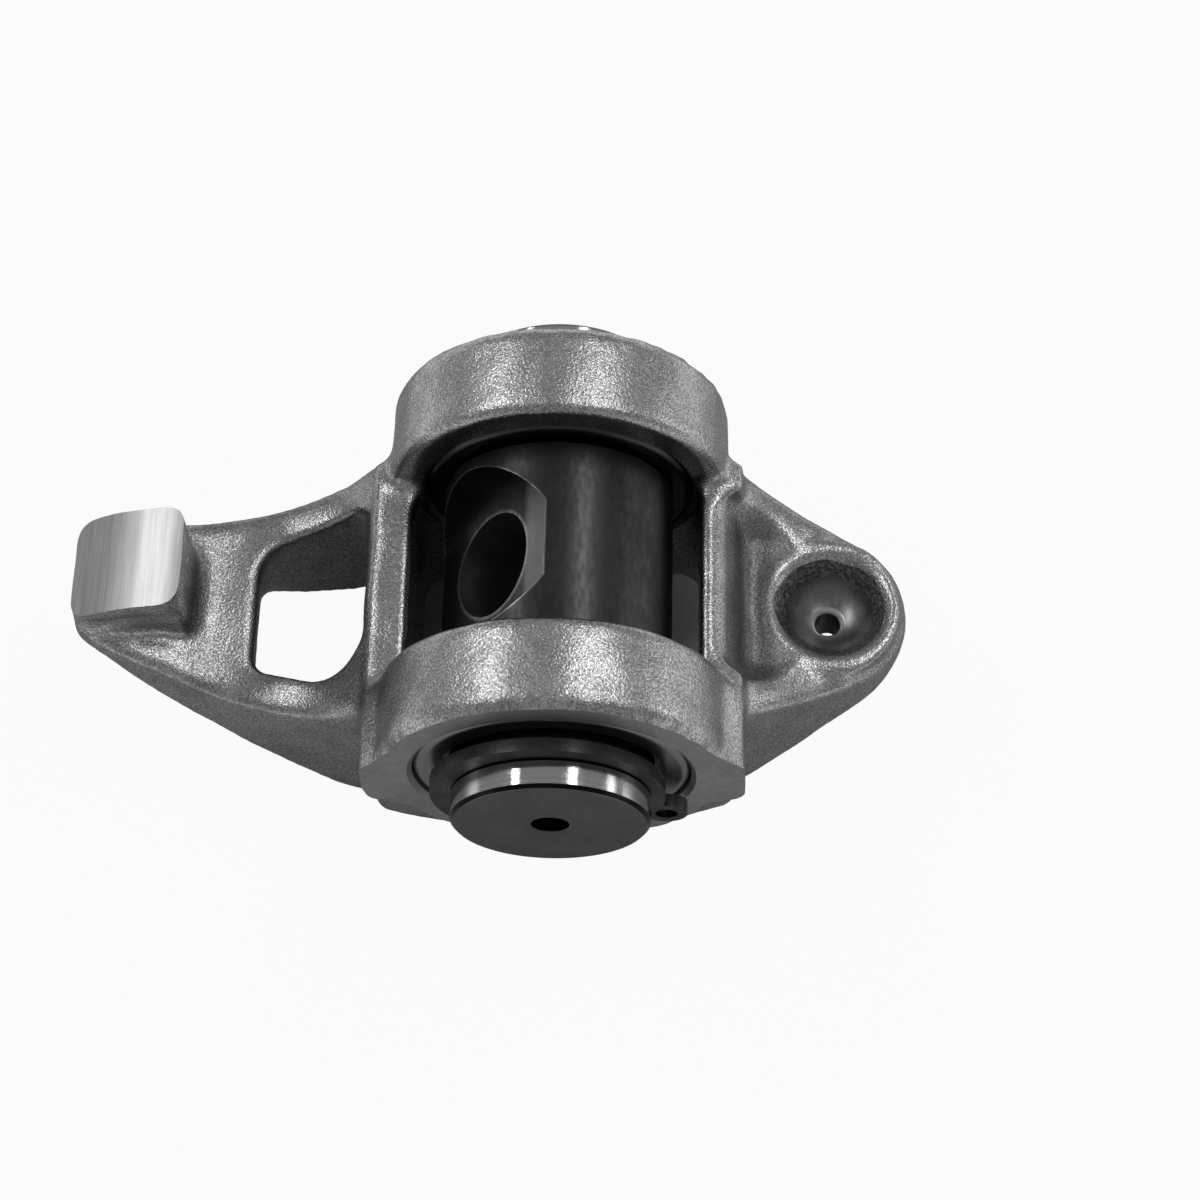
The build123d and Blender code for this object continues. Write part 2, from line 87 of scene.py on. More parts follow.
NECK_CUT_PAST_PAD = (0.2 * MM, 3.0 * MM)
NECK_SECTIONS = 30
CUP_X = 21.4 * MM
SEAT_EDGE_Z = -3.7 * MM
SEAT_PLUG_RADIUS = 3.9 * MM
SEAT_PLUG_LOW_Z = -8.6 * MM
BORE_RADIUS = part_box("bearing_cup_near")[1].x
BORE_BEVEL = 0.35 * MM
BORE_PLUG_ROOM = 0.1 * MM        # a plug of metal fills each bore until it is cut
BORE_PLUG_GAP = 0.02 * MM
BOSS_INNER_Y = 8.3 * MM
OPENING_X = (-24.5 * MM, -15.2 * MM)       # the lightening opening is squarer and longer below
OPENING_WALL = 2.5 * MM
OPENING_Z = (-18.0 * MM, -6.4 * MM)
RIDGE = np.array([(11.05, -4.0), (11.05, 2.4), (11.9, 2.5), (12.9, 1.8), (13.8, 0.2), (14.6, -1.9),
                  (15.0, -2.8), (15.0, -4.0)]) * MM   # side view of the window frame's pushrod end
RIDGE_ENDS_Y = (-9.4 * MM, 8.3 * MM)
VALLEY_FLOOR = np.array([(13.8, -5.6), (17.4, -5.2), (17.4, 5.2), (13.8, 5.6)]) * MM
VALLEY_FLOOR_Z = (-6.0 * MM, -2.05 * MM)   # level ground between the ridge and the pushrod cup
GRAIN_VOXEL = 0.27 * MM                    # distance between the points of the casting's skin
INNER_RADIUS = 0.7 * MM                    # rounding of the casting's inner corners
ROUNDING_PASSES = 4                        # how often the skin is averaged, which rounds its edges
RIPPLE_SPREAD = (0.7, 1.4)                 # shortest and longest wave, as shares of the length
FINE_RIPPLE = (1.0 * MM, 90, 5)            # length of the waves, how many there are, and their seed
FINE_HEIGHT = 0.004 * MM
BROAD_RIPPLE = (4.0 * MM, 40, 6)
BROAD_HEIGHT = 0.02 * MM
TORN_RIPPLE = (1.5 * MM, 60, 7)            # the rims beside the machined faces are uneven
TORN_WIDTH = 1.2 * MM
TORN_DEPTH = 0.035 * MM
TORN_LOSS = 0.6                            # they lie this many depths lower on the whole
SKIN_SETBACK = 0.03 * MM                   # the bumps start this far inside the smooth casting
FLANK_ALLOWANCE = 0.5 * MM                 # the beams' flanks below the axis stand out this much more
FLANK_START = 13.5 * MM                    # from this distance to the trunnion's axis
FLANK_BLEND = 1.5 * MM
FLANK_TOP_Z = 1.2 * MM                     # and up to this height, where nothing is left of it


def mesh_from(name, points, faces):
    """A mesh object at the origin from an array of points and a list of faces."""
    mesh = bpy.data.meshes.new(name)
    mesh.from_pydata(points.reshape(-1, 3), [], faces)
    mesh.update()
    piece = bpy.data.objects.new(name, mesh)
    bpy.context.scene.collection.objects.link(piece)
    return piece


def recalculate(mesh):
    """Turns every face of a closed mesh outward."""
    work = bmesh.new()
    work.from_mesh(mesh)
    bmesh.ops.recalc_face_normals(work, faces=work.faces)
    work.to_mesh(mesh)
    work.free()


def ringed(name, rings):
    """A closed body from an array of rings of points: each ring is joined to the next by quads, and
    the first and the last are closed by one face each."""
    rows, count = rings.shape[:2]
    ring = np.arange(count)
    step = (ring + 1) % count
    row = np.arange(rows - 1)[:, None] * count
    sides = np.stack([row + ring, row + step, row + count + step, row + count + ring], axis=-1)
    faces = sides.reshape(-1, 4).tolist()
    faces += [ring[::-1].tolist(), ((rows - 1) * count + ring).tolist()]
    piece = mesh_from(name, rings, faces)
    recalculate(piece.data)
    return piece


def lathe(name, profile, centre, axis, steps=160):
    """A closed turned body: each profile point (radius, height) is swept round the axis, and the
    point at angle a lies at centre + radius * (cos a, sin a) across the axis + height along it."""
    radius, height = np.array(profile, float).T
    angle = np.linspace(0, 2 * math.pi, steps, endpoint=False)
    across = radius[:, None] * np.cos(angle)
    depth = radius[:, None] * np.sin(angle)
    along = np.repeat(height[:, None], steps, axis=1)
    order = {"Z": (across, depth, along), "Y": (depth, along, across)}[axis]
    return ringed(name, np.stack(order, axis=-1) + np.array(centre))


def prism(name, outline, low, high):
    """A closed bar: an outline of (x, z) points carried along Y from low to high."""
    flat = np.array(outline, float)
    ends = [np.column_stack([flat[:, 0], np.full(len(flat), y), flat[:, 1]]) for y in (low, high)]
    return ringed(name, np.array(ends))


def slab(name, outline, low, high):
    """A closed block: an outline of (x, y) points carried along Z from low to high."""
    flat = np.array(outline, float)
    return ringed(name, np.array([np.column_stack([flat, np.full(len(flat), z)]) for z in (low, high)]))


def applied(piece):
    """Replaces a piece's mesh by what its modifiers make of it."""
    graph = bpy.context.evaluated_depsgraph_get()
    mesh = bpy.data.meshes.new_from_object(piece.evaluated_get(graph))
    piece.modifiers.clear()
    piece.data = mesh


def positions(mesh):
    """The mesh's points as an array."""
    flat = np.empty(len(mesh.vertices) * 3, np.float32)
    mesh.vertices.foreach_get("co", flat)
    return flat.reshape(-1, 3).astype(float)


def point_normals(mesh):
    """The outward direction at each of the mesh's points as an array."""
    flat = np.empty(len(mesh.vertices) * 3, np.float32)
    mesh.vertices.foreach_get("normal", flat)
    return flat.reshape(-1, 3)


def moved(mesh, points):
    """Puts the mesh's points where an array says."""
    mesh.vertices.foreach_set("co", points.astype(np.float32).ravel())
    mesh.update()


def averaged(mesh, passes):
    """Moves each point halfway to the mean of its neighbours, again and again, so edges round off."""
    points = positions(mesh)
    pairs = np.empty(len(mesh.edges) * 2, np.int32)
    mesh.edges.foreach_get("vertices", pairs)
    start, end = pairs.reshape(-1, 2).T
    count = np.bincount(np.concatenate([start, end]), minlength=len(points))[:, None]
    for _ in range(passes):
        total = np.zeros_like(points)
        for k in range(3):
            total[:, k] = np.bincount(start, points[end, k], len(points))
            total[:, k] += np.bincount(end, points[start, k], len(points))
        points = 0.5 * points + 0.5 * total / count
    return points


def ripple(points, size, waves, seed):
    """A bumpy field: the sum of plane waves of about one length, each with a random direction and
    phase, divided by the square root of half their number."""
    random = np.random.default_rng(seed)
    direction = random.normal(size=(waves, 3))
    direction /= np.linalg.norm(direction, axis=1)[:, None]
    length = size * random.uniform(*RIPPLE_SPREAD, waves)
    phase = random.uniform(0, 2 * math.pi, waves)
    field = np.sin(points @ (direction * (2 * math.pi / length)[:, None]).T + phase)
    return field.sum(axis=1) / math.sqrt(waves / 2)


def grown_blank():
    """The arm as it leaves the mould: the frame's arm with metal added where cuts will follow. The
    machined faces move outward and the pad's crown upward by the machining allowance."""
    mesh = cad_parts["rocker_arm"].data.copy()
    work = bmesh.new()
    work.from_mesh(mesh)
    bmesh.ops.remove_doubles(work, verts=work.verts, dist=MERGE_DISTANCE)
    work.to_mesh(mesh)
    work.free()
    points = positions(mesh)
    on_face = np.abs(points[:, 1]) > FACE_Y - FACE_ROOM
    points[on_face, 1] += np.sign(points[on_face, 1]) * MACHINING_ALLOWANCE
    from_crown = np.hypot(points[:, 0] - PAD_CROWN_X, points[:, 2] - PAD_CROWN_Z)
    on_pad = (points[:, 0] < PAD_INNER_X + PAD_ROOM) & (np.abs(from_crown - PAD_CROWN_RADIUS) < CROWN_ROOM)
    points[on_pad, 2] += MACHINING_ALLOWANCE
    moved(mesh, points)
    mesh.materials.clear()
    piece = bpy.data.objects.new("cast_arm", mesh)
    bpy.context.scene.collection.objects.link(piece)
    return piece


def joined(piece, *others):
    """Puts closed shells into one mesh, so that the remesh reads them as one body."""
    work = bmesh.new()
    for one in (piece, *others):
        work.from_mesh(one.data)
    work.to_mesh(piece.data)
    work.free()
    for one in others:
        bpy.data.objects.remove(one)


def cut(piece, cutter):
    """Cuts a closed cutter out of the piece. The cut faces keep the cutter's material."""
    modifier = piece.modifiers.new("cut", "BOOLEAN")
    modifier.operation = "DIFFERENCE"
    modifier.solver = "EXACT"
    modifier.object = cutter
    modifier.material_mode = "TRANSFER"
    applied(piece)
    bpy.data.objects.remove(cutter)


def remeshed(piece):
    """Lays a new skin of even voxels over the piece."""
    skin = piece.modifiers.new("skin", "REMESH")
    skin.mode = "VOXEL"
    skin.voxel_size = GRAIN_VOXEL
    applied(piece)


def push(mesh, distance):
    """Moves every point along its normal. Out and back in again, with a new skin in between, this
    fills the inner corners with a fillet of that radius."""
    moved(mesh, positions(mesh) + distance * point_normals(mesh))


def crown_height(x):
    """Height of the pad's crown at a place along the arm: an arc about the crown's centre."""
    return PAD_CROWN_Z + np.sqrt(PAD_CROWN_RADIUS ** 2 - (x - PAD_CROWN_X) ** 2)


def beam_half_width(x):
    """Half width of the valve beam's top at a place along the arm: a straight taper to the tip."""
    return np.interp(x, (ARM_TIP, -BEAM_ROOT_X), (TIP_HALF_WIDTH, BEAM_ROOT_HALF_WIDTH))


def beside_neck():
    """The room beside the pad's neck, on the near side. Each section across the arm is a wedge: it
    stands on the beam and runs from the neck out to the pad's edge, a little below the crown."""
    x = np.linspace(ARM_TIP - NECK_CUT_PAST_TIP, NECK_END_X, NECK_SECTIONS)
    crown = crown_height(np.minimum(x, PAD_INNER_X))
    beam = np.interp(x, (ARM_TIP, VALLEY_START_X), (TIP_TOP_Z, VALLEY_START_Z))
    top = np.maximum(crown - PAD_LIP, beam + NECK_LEAST_ROOM)
    neck = -np.interp(crown - beam, (PAD_LIP, NECK_HEIGHT), (PAD_HALF_WIDTH, NECK_HALF_WIDTH))
    edge, clear = [np.full_like(x, -(PAD_HALF_WIDTH + past)) for past in NECK_CUT_PAST_PAD]
    corners = [(neck, beam), (edge, top), (clear, top), (clear, beam)]
    sections = np.array([np.column_stack([x, y, z]) for y, z in corners])
    return ringed("cutter", sections.transpose(1, 0, 2))


arm = grown_blank()
half_width = beam_half_width(np.array(OPENING_X)) - OPENING_WALL
opening = [(OPENING_X[0], -half_width[0]), (OPENING_X[1], -half_width[1]),
           (OPENING_X[1], half_width[1]), (OPENING_X[0], half_width[0])]
cut(arm, slab("cutter", opening, *OPENING_Z))
cut(arm, beside_neck())

plug_radius = BORE_RADIUS + BORE_BEVEL + BORE_PLUG_ROOM
plug_ends = (BOSS_INNER_Y + BORE_PLUG_GAP, FACE_Y + MACHINING_ALLOWANCE)
plugs = [lathe("plug", [(plug_radius, side * end) for end in plug_ends], (0, 0, 0), "Y")
         for side in (-1, 1)]
seat_plug = [(SEAT_PLUG_RADIUS, SEAT_PLUG_LOW_Z), (SEAT_PLUG_RADIUS, SEAT_EDGE_Z)]
plugs.append(lathe("plug", seat_plug, (CUP_X, 0, 0), "Z"))
ridge = prism("ridge", RIDGE, *RIDGE_ENDS_Y)
valley_floor = slab("valley_floor", VALLEY_FLOOR, *VALLEY_FLOOR_Z)
joined(arm, ridge, valley_floor, *plugs)

remeshed(arm)
for way in (1, -1):
    push(arm.data, way * INNER_RADIUS)
    remeshed(arm)
skin = averaged(arm.data, ROUNDING_PASSES)
moved(arm.data, skin)
normals = point_normals(arm.data)
bumps = FINE_HEIGHT * ripple(skin, *FINE_RIPPLE) + BROAD_HEIGHT * ripple(skin, *BROAD_RIPPLE)
by_the_face = np.clip((np.abs(skin[:, 1]) - FACE_Y + TORN_WIDTH) / TORN_WIDTH, 0, 1)
bumps += by_the_face * TORN_DEPTH * (ripple(skin, *TORN_RIPPLE) - TORN_LOSS)
skin += normals * (bumps - SKIN_SETBACK)[:, None]
flank = np.clip((np.hypot(skin[:, 0], skin[:, 2]) - FLANK_START) / FLANK_BLEND, 0, 1)
flank *= np.clip((FLANK_TOP_Z - skin[:, 2]) / FLANK_TOP_Z, 0, 1)
flank *= np.clip(normals[:, 1] * np.sign(skin[:, 1]), 0, 1)
skin[:, 1] += FLANK_ALLOWANCE * np.sign(skin[:, 1]) * flank
lowest, highest = np.array(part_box("rocker_arm"))
skin[:, [0, 2]] = np.clip(skin, lowest, highest)[:, [0, 2]]
moved(arm.data, skin)


def feed(tree, made, inputs):
    """Sets a node's inputs, each by its name or number, to a value or to another node's socket."""
    for key, value in inputs.items():
        if isinstance(value, bpy.types.NodeSocket):
            tree.links.new(value, made.inputs[key])
        else:
            made.inputs[key].default_value = value


def node(tree, kind, inputs=None, **settings):
    """A new shader node with its settings and its inputs."""
    made = tree.nodes.new("ShaderNode" + kind)
    for name, value in settings.items():
        setattr(made, name, value)
    feed(tree, made, inputs or {})
    return made


def number(tree, operation, *values):
    """The result of one sum on numbers."""
    return node(tree, "Math", dict(enumerate(values)), operation=operation).outputs[0]


def vector(tree, operation, *values):
    """The result of one sum on vectors, which is a number for a length or a dot product."""
    made = node(tree, "VectorMath", dict(enumerate(values)), operation=operation)
    return made.outputs["Value" if operation in ("LENGTH", "DOT_PRODUCT") else "Vector"]


def product(tree, first, *others):
    """Numbers multiplied with one another."""
    for other in others:
        first = number(tree, "MULTIPLY", first, other)
    return first


def remainder(tree, share):
    """What a share leaves of the whole: 1 minus the share."""
    return number(tree, "SUBTRACT", 1.0, share)


def blend(tree, share, first, second):
    """The first number where the share is 0, the second where it is 1."""
    return node(tree, "Mix", {0: share, 2: first, 3: second}, data_type="FLOAT").outputs[0]


def ramp(tree, value, low, high, low_to=0.0, high_to=1.0):
    """A number carried smoothly from one range to another."""
    inputs = {"Value": value, "From Min": low, "From Max": high, "To Min": low_to, "To Max": high_to}
    return node(tree, "MapRange", inputs, interpolation_type="SMOOTHSTEP").outputs[0]


def fade(tree, value, low, high):
    """1 below a range, falling smoothly to 0 above it."""
    return ramp(tree, value, low, high, 1.0, 0.0)


def band(tree, value, rise, fall):
    """1 between two ranges: it rises over the first and falls over the second."""
    return product(tree, ramp(tree, value, *rise), fade(tree, value, *fall))


def near(tree, value, line, reach):
    """1 where a number is at the line, falling to 0 at the reach to either side."""
    return fade(tree, number(tree, "ABSOLUTE", number(tree, "SUBTRACT", value, line)), 0.0, reach)


def place_of(tree, kind="Object"):
    """Where the surface is on the piece or, with kind Normal, which way it faces."""
    return node(tree, "TexCoord").outputs[kind]


def parts_of(tree, place):
    """A vector's x, y and z."""
    return node(tree, "SeparateXYZ", {0: place}).outputs


def noise(tree, place, scale, detail, roughness=0.5):
    """A cloudy field of numbers about a half."""
    inputs = {"Vector": place, "Scale": scale, "Detail": detail, "Roughness": roughness}
    return node(tree, "TexNoise", inputs).outputs[0]


def grey(tree, value):
    """A neutral colour from one number."""
    return node(tree, "CombineColor", {0: value, 1: value, 2: value}).outputs[0]


def relief(tree, height, strength, depth):
    """A surface that stands out with the height, by the depth at most."""
    return node(tree, "Bump", {"Height": height, "Strength": strength, "Distance": depth}).outputs[0]


def effect(name, inputs, outputs):
    """An empty effect for several materials, with named numbers in and out."""
    tree = bpy.data.node_groups.new(name, "ShaderNodeTree")
    for socket, value in inputs.items():
        made = tree.interface.new_socket(socket, in_out="INPUT", socket_type="NodeSocketFloat")
        made.default_value = value
    for socket in outputs:
        tree.interface.new_socket(socket, in_out="OUTPUT", socket_type="NodeSocketFloat")
    return tree, tree.nodes.new("NodeGroupInput").outputs, tree.nodes.new("NodeGroupOutput")


def use(tree, name, inputs):
    """The outputs of a shared effect inside a material."""
    made = tree.nodes.new("ShaderNodeGroup")
    made.node_tree = bpy.data.node_groups[name]
    feed(tree, made, inputs)
    return made.outputs


def steel(name):
    """A new steel material: itself, its node tree and its surface shader."""
    made = bpy.data.materials.new(name)
    made.use_nodes = True
    surface = made.node_tree.nodes["Principled BSDF"]
    surface.inputs["Metallic"].default_value = 1.0
    return made, made.node_tree, surface


# Cast grain: fine lumps with pits between them, and broad blotches in the tone alone.
LUMP_DETAIL = (3.0, 0.55)                  # detail of the noise, and how rough it is
PIT_SCALE = 0.8
PIT_SMOOTHNESS = 0.8
PIT_SHARE = 0.55
BLOTCH_SCALE = 0.06
BLOTCH_DETAIL = 4.0
BLOTCH_SHARE = 0.2
tree, given, result = effect("cast_grain", {"Size mm": 0.35}, ["Height", "Tone"])
place = place_of(tree)
per_metre = number(tree, "DIVIDE", 1 / MM, given["Size mm"])
lumps = noise(tree, place, per_metre, *LUMP_DETAIL)
pits = node(tree, "TexVoronoi", {"Vector": place, "Scale": product(tree, per_metre, PIT_SCALE),
                                 "Smoothness": PIT_SMOOTHNESS}, feature="SMOOTH_F1").outputs[0]
blotches = noise(tree, place, product(tree, per_metre, BLOTCH_SCALE), BLOTCH_DETAIL)
feed(tree, result, {"Height": number(tree, "ADD", lumps, product(tree, pits, PIT_SHARE)),
                    "Tone": blend(tree, BLOTCH_SHARE, lumps, blotches)})

# Fine lines: grinding marks in broader bands. A small share along an axis draws them out along it.
LINE_DETAIL = (4.0, 0.6)
BAND_SCALE = 0.12
BAND_DETAIL = 2.0
BAND_SHARE = 0.5
tree, given, result = effect("fine_lines", {"Along X": 1.0, "Along Y": 1.0, "Along Z": 1.0, "Size mm": 0.1},
                             ["Height", "Tone"])
shares = {0: given["Along X"], 1: given["Along Y"], 2: given["Along Z"]}
stretched = vector(tree, "MULTIPLY", place_of(tree), node(tree, "CombineXYZ", shares).outputs[0])
per_metre = number(tree, "DIVIDE", 1 / MM, given["Size mm"])
lines = noise(tree, stretched, per_metre, *LINE_DETAIL)
bands = noise(tree, stretched, product(tree, per_metre, BAND_SCALE), BAND_DETAIL)
feed(tree, result, {"Height": lines, "Tone": blend(tree, BAND_SHARE, lines, bands)})

# Turned lines: the marks of a lathe round the Y axis, and how far from it and along it a place is.
GROOVE_DETAIL = (3.0, 0.6)
tree, given, result = effect("turned_lines", {"Size mm": 0.08}, ["Height", "Radius mm", "Along mm"])
place = parts_of(tree, place_of(tree))
radius = number(tree, "SQRT", number(tree, "ADD", product(tree, place[0], place[0]),
                                     product(tree, place[2], place[2])))
across_lines = node(tree, "CombineXYZ", {0: radius, 1: place[1], 2: 0.0}).outputs[0]
grooves = noise(tree, across_lines, number(tree, "DIVIDE", 1 / MM, given["Size mm"]), *GROOVE_DETAIL)
feed(tree, result, {"Height": grooves, "Radius mm": product(tree, radius, 1 / MM),
                    "Along mm": product(tree, number(tree, "ABSOLUTE", place[1]), 1 / MM)})


# Blasted casting. The valley by the pushrod cup is painted darker, a painted shade, and the valve beam's
# top is painted a little darker than the rest, a painted shade, but for one strip across it. Upright faces
# have less relief.
CAST_GRAIN = {"Size mm": 0.17}
CAST_TONES = (0.36, 0.64, 0.26, 0.62)      # tones of the grain and the greys that they become
CAST_SATIN = (0.38, 0.62, 0.34, 0.24)      # tones of the grain and the roughness that they become
CAST_RELIEF = 0.034 * MM
LEVELNESS = (0.05, 0.5, 0.5, 1.0)          # from upright to level, and the share of the relief there
# Painted shade: the valley between the ridge and the pushrod cup is painted darker, and made rougher.
VALLEY_SHADE_X = ((12.2 * MM, 14.2 * MM), (16.4 * MM, 17.6 * MM))
VALLEY_SHADE_EDGE_Y = (5.5 * MM, 8.5 * MM)
VALLEY_SHADE_LOW_Z = (-5.0 * MM, -3.5 * MM)
VALLEY_SHADE_DARKNESS = 0.42
VALLEY_SHADE_ROUGHNESS = 0.42
# Painted shade: the level top of the valve beam is painted darker, but for one strip across it.
BEAM_TOP_SHADE_X = ((-29.0 * MM, -28.0 * MM), (-13.5 * MM, -11.5 * MM))
BEAM_TOP_SHADE_LEVELNESS = (0.5, 0.85)
BEAM_TOP_SHADE_SHARE = 0.2
UNSHADED_STRIP = (-25.3 * MM, 1.3 * MM)       # where it is, and how far it reaches to either side
cast_steel, tree, surface = steel("cast_steel")
grain = use(tree, "cast_grain", CAST_GRAIN)
facing = parts_of(tree, place_of(tree, "Normal"))
spot = parts_of(tree, place_of(tree))
coarse = ramp(tree, number(tree, "ABSOLUTE", facing[2]), *LEVELNESS)
# painted shade in the valley by the pushrod cup
scale = product(tree, band(tree, spot[0], *VALLEY_SHADE_X),
                fade(tree, number(tree, "ABSOLUTE", spot[1]), *VALLEY_SHADE_EDGE_Y),
                ramp(tree, spot[2], *VALLEY_SHADE_LOW_Z))
# painted shade on the level top of the valve beam
beam_top_shade = product(tree, band(tree, spot[0], *BEAM_TOP_SHADE_X), ramp(tree, facing[2], *BEAM_TOP_SHADE_LEVELNESS),
               remainder(tree, near(tree, spot[0], *UNSHADED_STRIP)), BEAM_TOP_SHADE_SHARE)
grain_tone_with_beam_shade = product(tree, ramp(tree, grain["Tone"], *CAST_TONES), remainder(tree, beam_top_shade))
tone = blend(tree, scale, grain_tone_with_beam_shade, product(tree, grain_tone_with_beam_shade, VALLEY_SHADE_DARKNESS))
satin = blend(tree, scale, ramp(tree, grain["Tone"], *CAST_SATIN), VALLEY_SHADE_ROUGHNESS)
feed(tree, surface, {"Base Color": grey(tree, tone), "Roughness": satin,
                     "Normal": relief(tree, grain["Height"], coarse, CAST_RELIEF)})
arm.data.materials.clear()
arm.data.materials.append(cast_steel)

# The pushrod cup's mouth, which is left rough and dark.
MOUTH_GRAIN = {"Size mm": 0.3}
MOUTH_TONES = (0.38, 0.62, 0.08, 0.26)
MOUTH_ROUGHNESS = 0.42
MOUTH_RELIEF = (1.0, 0.07 * MM)            # strength and depth
mouth_steel, tree, surface = steel("mouth_steel")
grain = use(tree, "cast_grain", MOUTH_GRAIN)
feed(tree, surface, {"Base Color": grey(tree, ramp(tree, grain["Tone"], *MOUTH_TONES)),
                     "Roughness": MOUTH_ROUGHNESS,
                     "Normal": relief(tree, grain["Height"], *MOUTH_RELIEF)})

# The faces and bores of the bosses, turned bright.
CUT_GROOVES = {"Size mm": 0.09}
CUT_WEAR = {"Size mm": 0.5}
CUT_TONES = (0.35, 0.65, 0.43, 0.56)
CUT_SATIN = (0.35, 0.65, 0.36, 0.28)
CUT_RELIEF = (0.6, 0.006 * MM)
cut_steel, tree, surface = steel("cut_steel")
turned = use(tree, "turned_lines", CUT_GROOVES)
worn = use(tree, "fine_lines", CUT_WEAR)
feed(tree, surface, {"Base Color": grey(tree, ramp(tree, worn["Tone"], *CUT_TONES)),
                     "Roughness": ramp(tree, worn["Tone"], *CUT_SATIN),
                     "Normal": relief(tree, turned["Height"], *CUT_RELIEF)})

# The valve pad, ground across the arm.
PAD_LINES = {"Along Y": 0.03, "Along Z": 0.3, "Size mm": 0.12}
PAD_TONES = (0.3, 0.7, 0.37, 0.57)
PAD_ROUGHNESS = 0.36
PAD_RELIEF = (0.8, 0.003 * MM)
pad_steel, tree, surface = steel("ground_pad_steel")
ground = use(tree, "fine_lines", PAD_LINES)
feed(tree, surface, {"Base Color": grey(tree, ramp(tree, ground["Tone"], *PAD_TONES)),
                     "Roughness": PAD_ROUGHNESS,
                     "Normal": relief(tree, ground["Height"], *PAD_RELIEF)})

# The ball seat, burnished, with a bright lip round its oil hole. The hole's wall is painted dark, a painted
# shade inside the hole.
SEAT_LINES = {"Size mm": 0.3}
SEAT_TONES = (0.3, 0.7, 0.18, 0.28)
SEAT_SATIN = (0.3, 0.7, 0.3, 0.42)
OIL_HOLE_LIP = (1.15, 0.3)                 # in mm, its radius and how far it reaches to either side
OIL_HOLE_LIP_GREY = 0.75
OIL_HOLE_EDGE = (0.96, 1.0)                # in mm
OIL_HOLE_SHADE_GREY = 0.06
seat_steel, tree, surface = steel("ball_seat_steel")
polished = use(tree, "fine_lines", SEAT_LINES)
from_hole = vector(tree, "SUBTRACT", place_of(tree), (CUP_X, 0, 0))
out_mm = vector(tree, "LENGTH", vector(tree, "MULTIPLY", from_hole, (1 / MM, 1 / MM, 0)))
tone = blend(tree, near(tree, out_mm, *OIL_HOLE_LIP), ramp(tree, polished["Tone"], *SEAT_TONES),
             OIL_HOLE_LIP_GREY)
# Painted shade on the oil hole's wall.
tone = blend(tree, fade(tree, out_mm, *OIL_HOLE_EDGE), tone, OIL_HOLE_SHADE_GREY)
feed(tree, surface, {"Base Color": grey(tree, tone),
                     "Roughness": ramp(tree, polished["Tone"], *SEAT_SATIN)})


# Both bores and both machined faces, cut by one bobbin with wide flanges.
FACING_RADIUS = 40.0 * MM
FACING_DEPTH = 3.0 * MM
BORE_STEPS = 200
half = [(BORE_RADIUS + BORE_BEVEL, BOSS_INNER_Y), (BORE_RADIUS, BOSS_INNER_Y + BORE_BEVEL),
        (BORE_RADIUS, FACE_Y - BORE_BEVEL), (BORE_RADIUS + BORE_BEVEL, FACE_Y),
        (FACING_RADIUS, FACE_Y), (FACING_RADIUS, FACE_Y + FACING_DEPTH)]
bobbin = [(radius, -y) for radius, y in half[::-1]] + half
cutter = lathe("cutter", bobbin, (0, 0, 0), "Y", BORE_STEPS)
cutter.data.materials.append(cut_steel)
cut(arm, cutter)

# The pad's crown.
PAD_CUT_PAST = (1.5 * MM, 1.0 * MM)        # beyond the tip and beyond the pad's inner edge
PAD_CUT_TOP_Z = 9.0 * MM
PAD_CUT_HALF_WIDTH = 7.0 * MM
PAD_CUT_STEPS = 60
tip_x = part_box("rocker_arm")[0].x
sweep = np.linspace(tip_x - PAD_CUT_PAST[0], PAD_INNER_X + PAD_CUT_PAST[1], PAD_CUT_STEPS)
outline = list(zip(sweep, crown_height(sweep)))
outline += [(sweep[-1], PAD_CUT_TOP_Z), (sweep[0], PAD_CUT_TOP_Z)]
cutter = prism("cutter", outline, -PAD_CUT_HALF_WIDTH, PAD_CUT_HALF_WIDTH)
cutter.data.materials.append(pad_steel)
cut(arm, cutter)

# The cup's mouth, a cone that is wider above.
SEAT_EDGE_RADIUS = 3.3 * MM
RIM_EDGE_RADIUS = 4.55 * MM
RIM_Z = -1.9 * MM
MOUTH_CUT_FLARE = 0.3 * MM
MOUTH_CUT_TOP_Z = 4.0 * MM
CUP_STEPS = 96
mouth = [(SEAT_EDGE_RADIUS, SEAT_EDGE_Z), (RIM_EDGE_RADIUS, RIM_Z),
         (RIM_EDGE_RADIUS + MOUTH_CUT_FLARE, MOUTH_CUT_TOP_Z)]
cutter = lathe("cutter", mouth, (CUP_X, 0, 0), "Z", CUP_STEPS)
cutter.data.materials.append(mouth_steel)
cut(arm, cutter)

# The ball seat and the oil hole below it.
BALL_RADIUS = 3.97 * MM
BALL_Z = -1.4965 * MM
SEAT_CUT_PAST = 0.15 * MM
SEAT_ARC_STEPS = 30
OIL_HOLE_RADIUS = 0.95 * MM
OIL_HOLE_BEVEL = 0.3 * MM
OIL_HOLE_DEPTH = 12.0 * MM                 # below the middle of the ball
hole_angle = math.acos(OIL_HOLE_RADIUS / BALL_RADIUS)
edge_angle = math.acos((SEAT_EDGE_RADIUS + SEAT_CUT_PAST) / BALL_RADIUS)
arc = [(BALL_RADIUS * math.cos(a), BALL_RADIUS * math.sin(a))
       for a in np.linspace(-hole_angle, -edge_angle, SEAT_ARC_STEPS)]
seat = [(OIL_HOLE_RADIUS, -OIL_HOLE_DEPTH), (OIL_HOLE_RADIUS, arc[0][1] - OIL_HOLE_BEVEL)]
seat += [(r, z) for r, z in arc if r > OIL_HOLE_RADIUS + OIL_HOLE_BEVEL]
cutter = lathe("cutter", seat, (CUP_X, 0, BALL_Z), "Z", CUP_STEPS)
cutter.data.materials.append(seat_steel)
cut(arm, cutter)

